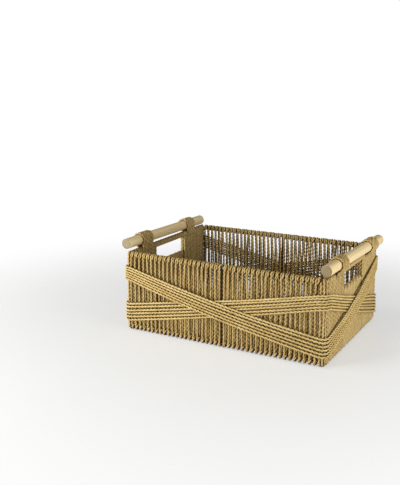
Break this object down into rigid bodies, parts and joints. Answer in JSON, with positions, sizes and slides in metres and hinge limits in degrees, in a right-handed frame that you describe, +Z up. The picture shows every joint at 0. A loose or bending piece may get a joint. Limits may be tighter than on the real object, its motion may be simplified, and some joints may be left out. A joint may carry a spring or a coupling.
{
  "type": "laundry basket",
  "caption": "Rectangular open storage basket of twisted cord wound on a welded wire frame, with a hand hole and a round wooden dowel handle at each end.",
  "frame": {"origin": "middle of the underside, on the surface that the basket stands on", "axes": "+X along the length, towards the right end wall; +Y towards the back long wall; +Z up"},
  "size_m": [0.4582, 0.3346, 0.1923],
  "materials": {
    "frame_wire": "satin brown powder coat",
    "wound_cord": "twisted two-ply cord, matt to satin",
    "band_cord": "twisted two-ply cord, matt to satin",
    "handle_wood": "sanded, unvarnished"
  },
  "bodies": {
    "root": {"base_cross_wire_1": "frame_wire", "base_cross_wire_2": "frame_wire", "base_cross_wire_3": "frame_wire", "base_winding": "wound_cord", "base_wire": "frame_wire", "corner_post_back_left": "frame_wire", "corner_post_back_right": "frame_wire", "corner_post_front_left": "frame_wire", "corner_post_front_right": "frame_wire", "corner_winding_back_left": "wound_cord", "corner_winding_back_right": "wound_cord", "corner_winding_front_left": "wound_cord", "corner_winding_front_right": "wound_cord", "end_winding_back_left": "wound_cord", "end_winding_back_right": "wound_cord", "end_winding_front_left": "wound_cord", "end_winding_front_right": "wound_cord", "end_winding_under_hole_left": "wound_cord", "end_winding_under_hole_right": "wound_cord", "hand_hole_sill_bar_left": "frame_wire", "hand_hole_sill_bar_right": "frame_wire", "hand_hole_stay_back_left": "frame_wire", "hand_hole_stay_back_right": "frame_wire", "hand_hole_stay_front_left": "frame_wire", "hand_hole_stay_front_right": "frame_wire", "handle_dowel_left": "handle_wood", "handle_dowel_right": "handle_wood", "handle_lashing_back_left": "wound_cord", "handle_lashing_back_right": "wound_cord", "handle_lashing_front_left": "wound_cord", "handle_lashing_front_right": "wound_cord", "middle_stay_back": "frame_wire", "middle_stay_front": "frame_wire", "outer_band_cord_1": "band_cord", "outer_band_cord_2": "band_cord", "outer_band_cord_3": "band_cord", "outer_band_cord_4": "band_cord", "outer_band_cord_5": "band_cord", "outer_band_cord_6": "band_cord", "rim_wire": "frame_wire", "rim_wrap_over_hole_left": "wound_cord", "rim_wrap_over_hole_right": "wound_cord", "under_band_cord_1": "band_cord", "under_band_cord_2": "band_cord", "under_band_cord_3": "band_cord", "under_band_cord_4": "band_cord", "under_band_cord_5": "band_cord", "under_band_cord_6": "band_cord", "wall_winding_back": "wound_cord", "wall_winding_front": "wound_cord"}
  },
  "joints": []
}
